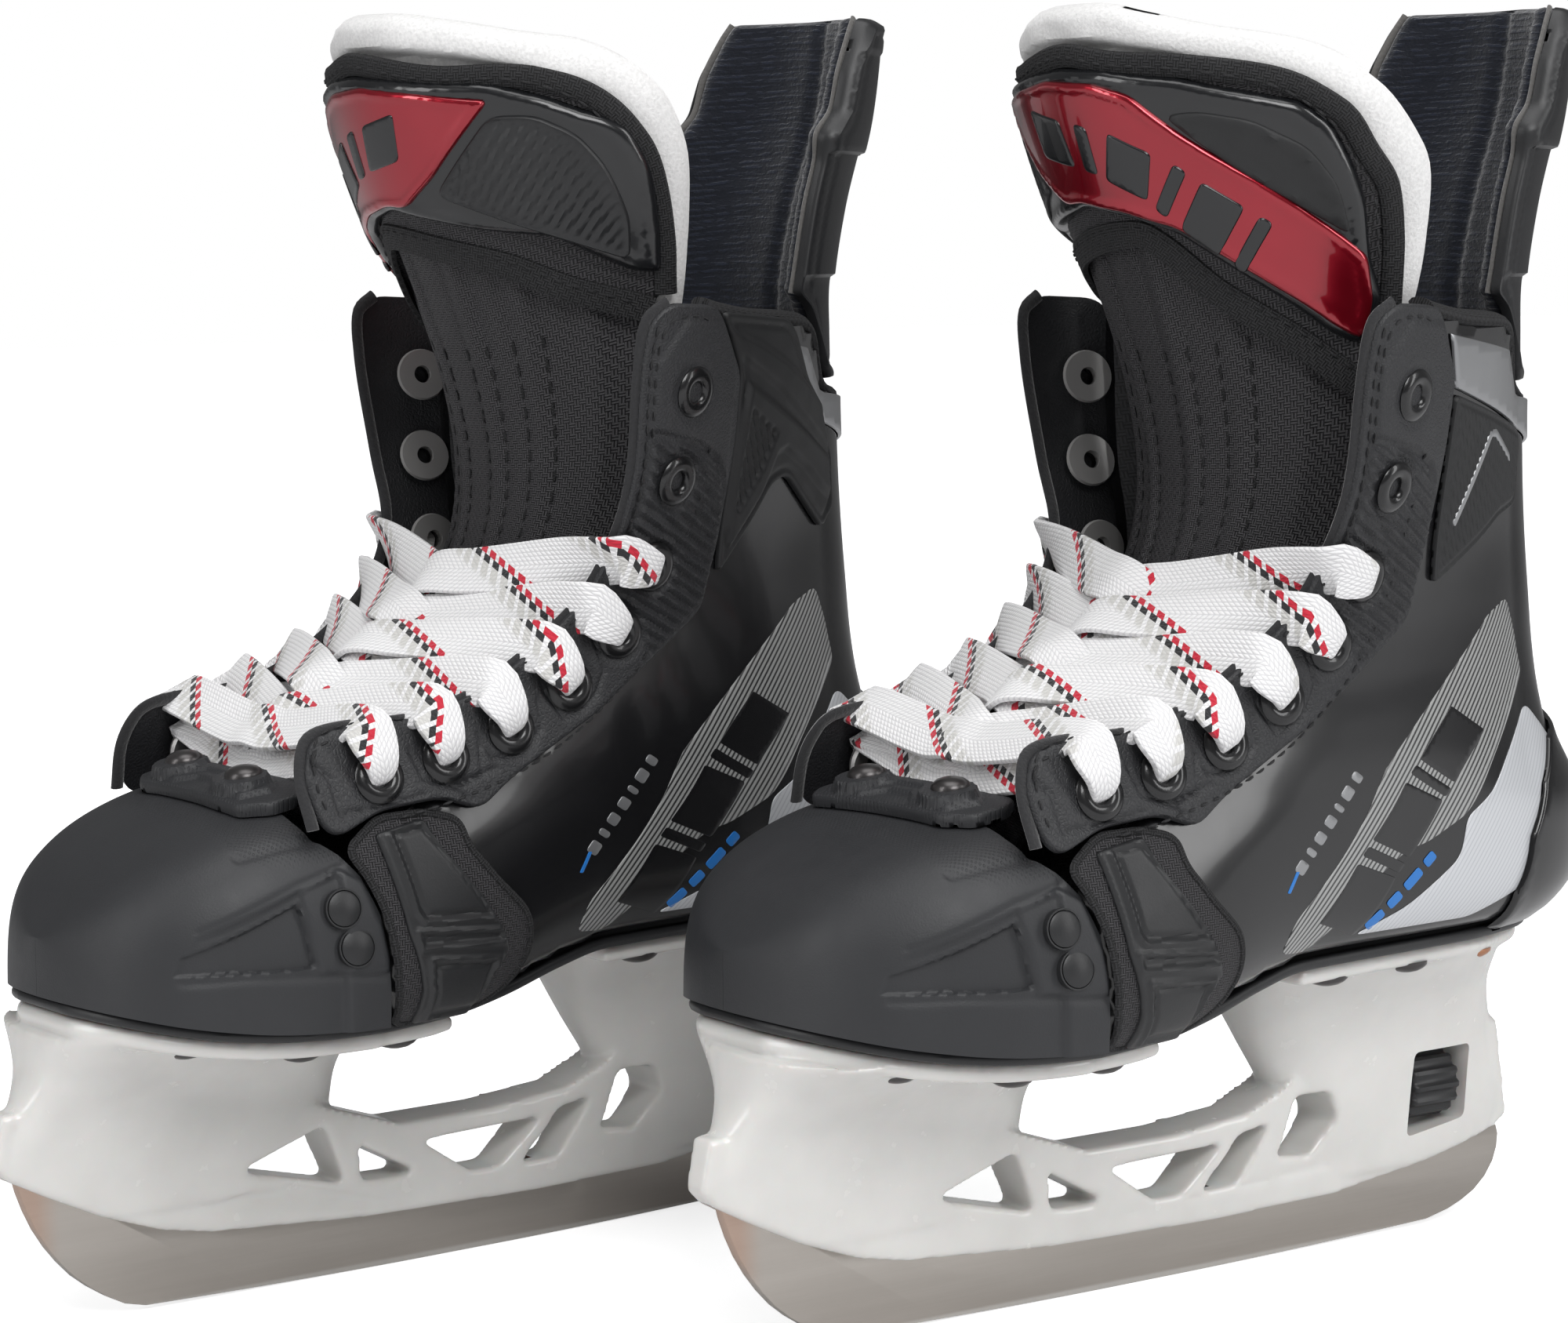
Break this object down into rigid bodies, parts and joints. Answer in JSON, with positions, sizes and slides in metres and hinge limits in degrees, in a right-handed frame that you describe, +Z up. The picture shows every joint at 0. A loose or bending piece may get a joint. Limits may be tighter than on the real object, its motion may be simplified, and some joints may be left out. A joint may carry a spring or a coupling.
{
  "type": "pair of ice hockey skates",
  "caption": "Pair of moulded ice skates with laced boots, felt tongues, tendon guards, blade holders and quick-release steel runners.",
  "frame": {"origin": "middle of the left runner's glide face, on the ice", "axes": "+X towards the toes of the left skate, +Y towards the wearer's left, +Z up"},
  "size_m": [0.3364, 0.2215, 0.2751],
  "materials": {
    "holder_white": "glossy moulded nylon, faintly warm white",
    "runner_steel": "warm grey steel, brushed along its length",
    "black_plastic": "semi-matt moulded black plastic",
    "toe_plastic": "matt charcoal plastic with a fine grain",
    "gloss_black": "glossy black moulded shell",
    "soft_black": "black woven textile over foam",
    "facing_black": "matt black synthetic leather with stitching",
    "silver_band": "silver-grey printed and moulded band",
    "badge_red": "metallic red band on a glossy black moulded badge",
    "felt_white": "thick white felt",
    "felt_navy": "ribbed navy-black felt lining",
    "lace_white": "flat white woven cotton with red and black ticks",
    "rivet_dark": "dark metal dome rivets and eyelets",
    "rivet_copper": "copper-coloured dome rivet"
  },
  "bodies": {
    "left_skate": {"left_blade_holder": "holder_white", "left_front_rivets": "rivet_dark", "left_rear_rivets": "rivet_dark", "left_copper_rivets": "rivet_copper", "left_outsole": "black_plastic", "left_boot_shell": "gloss_black", "left_liner": "soft_black", "left_footbed": "soft_black", "left_toe_cap": "toe_plastic", "left_toe_bridge": "black_plastic", "left_heel_cup": "gloss_black", "left_rear_band": "silver_band", "left_tongue_lower": "soft_black", "left_lace": "lace_white", "left_facing_outer": "facing_black", "left_facing_inner": "facing_black", "left_eyelets_outer": "rivet_dark", "left_eyelets_inner": "rivet_dark", "left_forefoot_wrap_outer": "gloss_black", "left_forefoot_wrap_inner": "gloss_black", "left_ankle_pad_outer": "facing_black", "left_ankle_pad_inner": "facing_black"},
    "left_runner": {"left_runner": "runner_steel"},
    "left_lock_wheel": {"left_lock_wheel": "black_plastic"},
    "left_lock_slider": {"left_lock_slider": "runner_steel"},
    "left_tendon_guard": {"left_tendon_guard": "black_plastic", "left_guard_felt": "felt_navy"},
    "left_tongue": {"left_tongue_upper": "soft_black", "left_tongue_felt": "felt_white", "left_tongue_badge": "badge_red"},
    "right_skate": {"right_blade_holder": "holder_white", "right_front_rivets": "rivet_dark", "right_rear_rivets": "rivet_dark", "right_copper_rivets": "rivet_copper", "right_outsole": "black_plastic", "right_boot_shell": "gloss_black", "right_liner": "soft_black", "right_footbed": "soft_black", "right_toe_cap": "toe_plastic", "right_toe_bridge": "black_plastic", "right_heel_cup": "gloss_black", "right_rear_band": "silver_band", "right_tongue_lower": "soft_black", "right_lace": "lace_white", "right_facing_outer": "facing_black", "right_facing_inner": "facing_black", "right_eyelets_outer": "rivet_dark", "right_eyelets_inner": "rivet_dark", "right_forefoot_wrap_outer": "gloss_black", "right_forefoot_wrap_inner": "gloss_black", "right_ankle_pad_outer": "facing_black", "right_ankle_pad_inner": "facing_black"},
    "right_runner": {"right_runner": "runner_steel"},
    "right_lock_wheel": {"right_lock_wheel": "black_plastic"},
    "right_lock_slider": {"right_lock_slider": "runner_steel"},
    "right_tendon_guard": {"right_tendon_guard": "black_plastic", "right_guard_felt": "felt_navy"},
    "right_tongue": {"right_tongue_upper": "soft_black", "right_tongue_felt": "felt_white", "right_tongue_badge": "badge_red"}
  },
  "joints": [
    {"name": "right_skate_slide", "type": "slide", "parent": "left_skate", "child": "right_skate", "axis": [1, 0, 0], "range_m": [0, 0.3]},
    {"name": "left_runner_release", "type": "hinge", "parent": "left_skate", "child": "left_runner", "pos_m": [0.101, 0, 0.036], "axis": [0, -1, 0], "range_deg": [0, 8]},
    {"name": "left_lock_wheel_turn", "type": "hinge", "parent": "left_skate", "child": "left_lock_wheel", "pos_m": [-0.081, 0, 0.033], "axis": [1, 0, 0], "range_deg": [0, 360]},
    {"name": "left_lock_slider_travel", "type": "slide", "parent": "left_skate", "child": "left_lock_slider", "axis": [-1, 0, 0], "range_m": [0, 0.002]},
    {"name": "left_tongue_flex", "type": "hinge", "parent": "left_skate", "child": "left_tongue", "pos_m": [-0.009, 0, 0.178], "axis": [0, 1, 0], "range_deg": [-3, 30], "stiffness_Nm_per_rad": 1.5},
    {"name": "left_guard_flex", "type": "hinge", "parent": "left_skate", "child": "left_tendon_guard", "pos_m": [-0.098, 0, 0.191], "axis": [0, -1, 0], "range_deg": [-4, 20], "stiffness_Nm_per_rad": 4},
    {"name": "right_runner_release", "type": "hinge", "parent": "right_skate", "child": "right_runner", "pos_m": [0.20485, -0.10254, 0.036], "axis": [0.0541, -0.9985, 0], "range_deg": [0, 8]},
    {"name": "right_lock_wheel_turn", "type": "hinge", "parent": "right_skate", "child": "right_lock_wheel", "pos_m": [0.02312, -0.11238, 0.033], "axis": [-0.9985, -0.0541, 0], "range_deg": [0, 360]},
    {"name": "right_lock_slider_travel", "type": "slide", "parent": "right_skate", "child": "right_lock_slider", "axis": [-0.9985, -0.0541, 0], "range_m": [0, 0.002]},
    {"name": "right_tongue_flex", "type": "hinge", "parent": "right_skate", "child": "right_tongue", "pos_m": [0.09501, -0.10849, 0.178], "axis": [-0.0541, 0.9985, 0], "range_deg": [-3, 30], "stiffness_Nm_per_rad": 1.5},
    {"name": "right_guard_flex", "type": "hinge", "parent": "right_skate", "child": "right_tendon_guard", "pos_m": [0.00614, -0.1133, 0.191], "axis": [0.0541, -0.9985, 0], "range_deg": [-4, 20], "stiffness_Nm_per_rad": 4}
  ],
  "couplings": [
    {"joint": "left_lock_wheel_turn", "follows": "left_lock_slider_travel", "rad_per_m": 3141.6},
    {"joint": "right_lock_wheel_turn", "follows": "right_lock_slider_travel", "rad_per_m": 3141.6}
  ]
}
